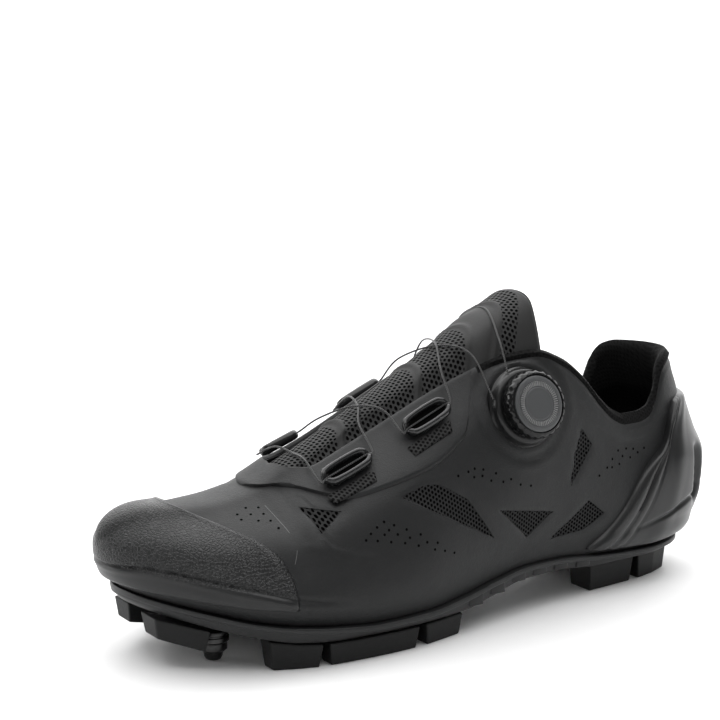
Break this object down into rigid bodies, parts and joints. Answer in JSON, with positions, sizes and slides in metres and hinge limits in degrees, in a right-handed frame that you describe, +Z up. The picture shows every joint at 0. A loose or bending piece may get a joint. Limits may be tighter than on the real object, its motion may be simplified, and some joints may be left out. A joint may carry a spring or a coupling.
{
  "type": "cycling shoe",
  "caption": "Low-cut off-road cycling shoe for the left foot with a wire dial closure, toe cap, heel counter and lugged stiff sole.",
  "frame": {"origin": "on the floor, under the middle of the shoe's length and width", "axes": "+X towards the toe, +Y towards the shoe's outer side, +Z up"},
  "size_m": [0.3025, 0.1022, 0.1345],
  "materials": {
    "upper": "matt microfibre",
    "toe_cap": "grained, satin",
    "counter": "gloss",
    "padding": "knitted lining",
    "sole": "satin moulding",
    "rubber": "matt",
    "plate": "woven fibre look",
    "steel": "dark",
    "dial": "satin",
    "dial_cap": "spun grey",
    "guides": "gloss",
    "wire": "fine stranded steel"
  },
  "bodies": {
    "root": {"upper": "upper", "eyestay": "upper", "toe_cap": "toe_cap", "heel_counter": "counter", "tongue": "padding", "insole": "padding", "sole_plate": "sole", "heel_lug_rear_outer": "rubber", "heel_lug_rear_inner": "rubber", "heel_lug_front_outer": "rubber", "heel_lug_front_inner": "rubber", "ball_lug_rear_outer": "rubber", "ball_lug_rear_inner": "rubber", "ball_lug_edge_outer": "rubber", "ball_lug_edge_inner": "rubber", "ball_lug_front_outer": "rubber", "ball_lug_front_inner": "rubber", "ball_lug_plate_outer": "rubber", "ball_lug_plate_inner": "rubber", "toe_lug_outer": "rubber", "toe_lug_inner": "rubber", "cleat_plate": "plate", "cleat_bolt_outer_front": "steel", "cleat_bolt_outer_rear": "steel", "cleat_bolt_inner_front": "steel", "cleat_bolt_inner_rear": "steel", "toe_stud_outer": "steel", "toe_stud_inner": "steel", "dial_base": "dial", "dial_knob": "dial", "dial_cap": "dial_cap", "guide_outer_upper": "guides", "guide_outer_lower": "guides", "guide_inner_upper": "guides", "guide_inner_middle": "guides", "guide_inner_lower": "guides", "lace_wire": "wire"}
  },
  "joints": []
}
